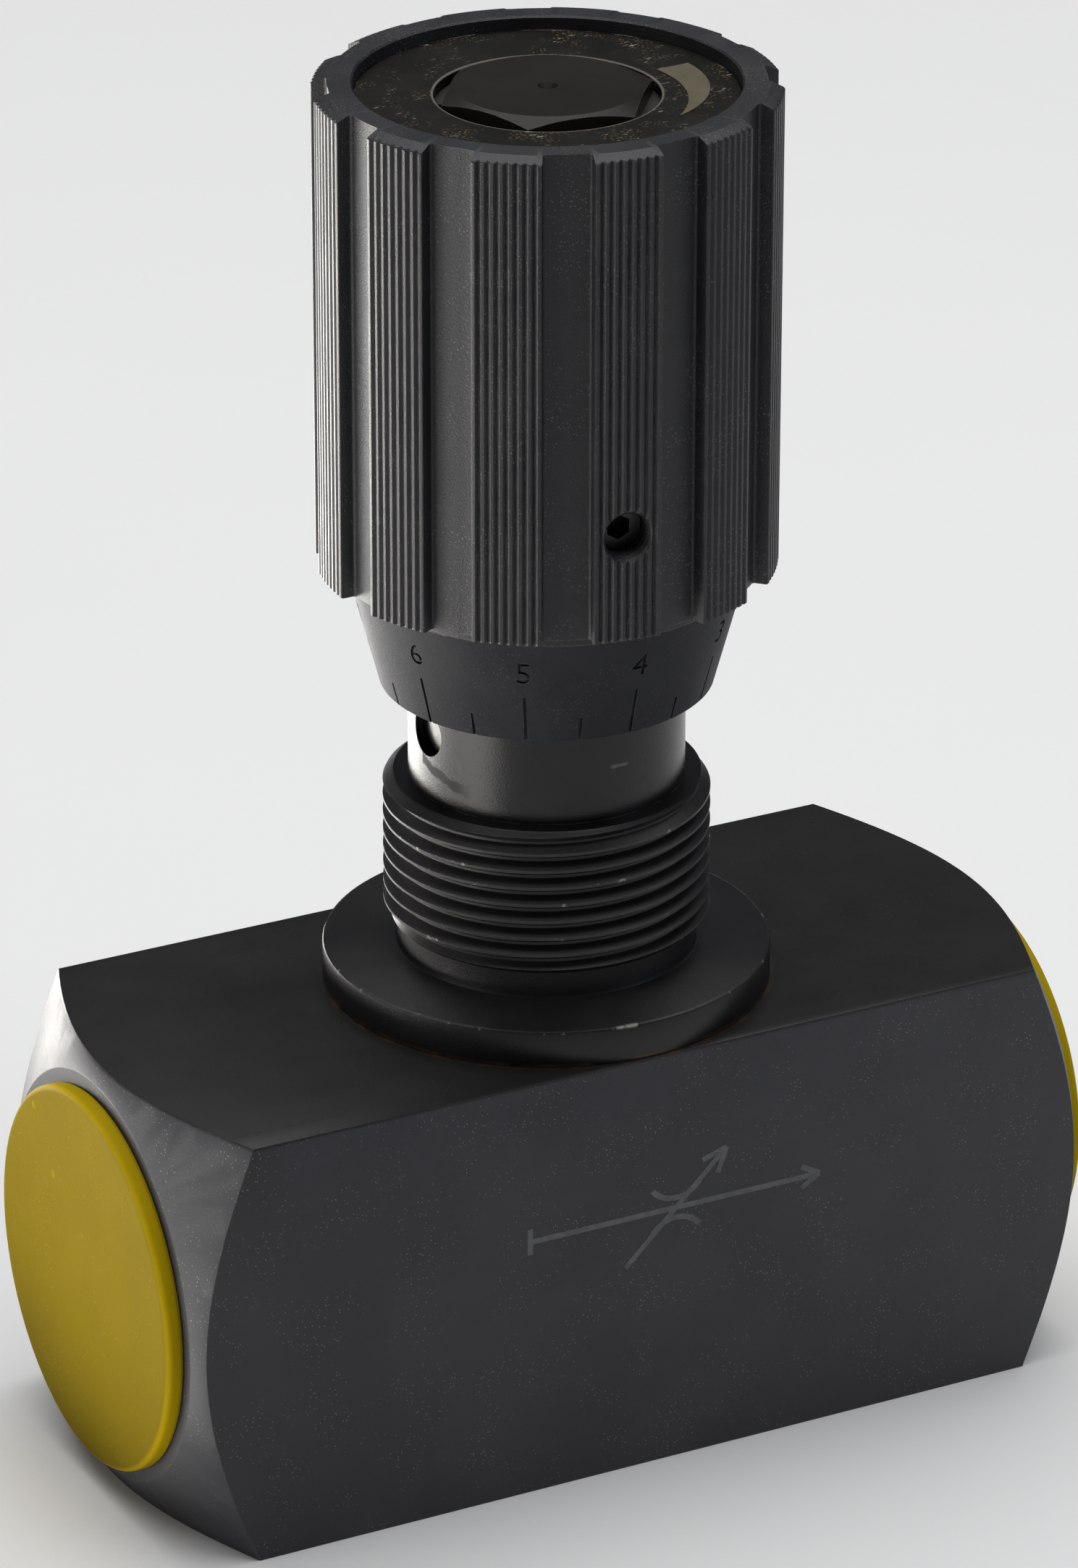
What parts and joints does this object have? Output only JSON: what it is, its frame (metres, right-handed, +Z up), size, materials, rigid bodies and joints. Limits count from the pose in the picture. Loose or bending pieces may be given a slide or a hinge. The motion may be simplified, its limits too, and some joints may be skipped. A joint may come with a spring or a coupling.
{
  "type": "flow control valve",
  "caption": "In-line needle valve: square bar body with opposed threaded ports, a ribbed dial knob on a screwed spindle, a panel thread and push-in port plugs.",
  "frame": {"origin": "centre of the body's flat bottom face", "axes": "+Z up along the spindle, +X along the port axis towards the right-hand port, -Y out of the front face"},
  "size_m": [0.1142, 0.0502, 0.1541],
  "materials": {
    "body_oxide": "black oxide on milled and turned steel, satin",
    "bush_oxide": "black oxide on turned steel, glossy on the neck",
    "spindle_oxide": "black oxide on a turned hexagon, satin",
    "knob_anodised": "black anodised, fine bead-blast, satin",
    "disc_black": "black anodised sheet, slightly dusty",
    "mark_paint": "matte cream paint",
    "plug_yellow": "semi-gloss moulded polyethylene",
    "screw_oxide": "black oxide",
    "bright_steel": "ground steel",
    "seal_rubber": "nitrile rubber, matte",
    "white_plastic": "white back-up ring plastic",
    "pad_brass": "plain brass"
  },
  "bodies": {
    "valve": {"valve_body": "body_oxide", "seat_ring": "bright_steel", "spindle_bush": "bush_oxide", "flange_seal_ring": "seal_rubber", "wiper_ring": "seal_rubber", "stop_pin": "bright_steel"},
    "lift_carrier": {"spindle_seal_ring": "seal_rubber", "backup_ring": "white_plastic"},
    "turning_knob": {"spindle": "spindle_oxide", "grip_knob": "knob_anodised", "cover_disc": "disc_black", "turn_mark": "mark_paint", "retaining_ring": "spindle_oxide"},
    "lock_pad_carrier": {"lock_pad": "pad_brass"},
    "lock_screw": {"lock_screw": "screw_oxide"},
    "left_plug": {"port_plug_left": "plug_yellow"},
    "right_plug": {"port_plug_right": "plug_yellow"}
  },
  "joints": [
    {"name": "spindle_lift", "type": "slide", "parent": "valve", "child": "lift_carrier", "axis": [0, 0, 1], "range_m": [-0.009, 0.0015]},
    {"name": "knob_turn", "type": "hinge", "parent": "lift_carrier", "child": "turning_knob", "pos_m": [0, 0, 0.1], "axis": [0, 0, 1], "range_deg": [-2160, 360]},
    {"name": "lock_travel", "type": "slide", "parent": "turning_knob", "child": "lock_pad_carrier", "axis": [-0.1305, -0.9914, 0], "range_m": [0, 0.0016]},
    {"name": "lock_turn", "type": "hinge", "parent": "lock_pad_carrier", "child": "lock_screw", "pos_m": [0, 0, 0.1115], "axis": [-0.1305, -0.9914, 0], "range_deg": [0, 720]},
    {"name": "left_plug_pull", "type": "slide", "parent": "valve", "child": "left_plug", "axis": [-1, 0, 0], "range_m": [0, 0.06]},
    {"name": "right_plug_pull", "type": "slide", "parent": "valve", "child": "right_plug", "axis": [1, 0, 0], "range_m": [0, 0.06]}
  ],
  "couplings": [
    {"joint": "spindle_lift", "follows": "knob_turn", "m_per_rad": 0.00023873},
    {"joint": "lock_turn", "follows": "lock_travel", "rad_per_m": 7854}
  ]
}
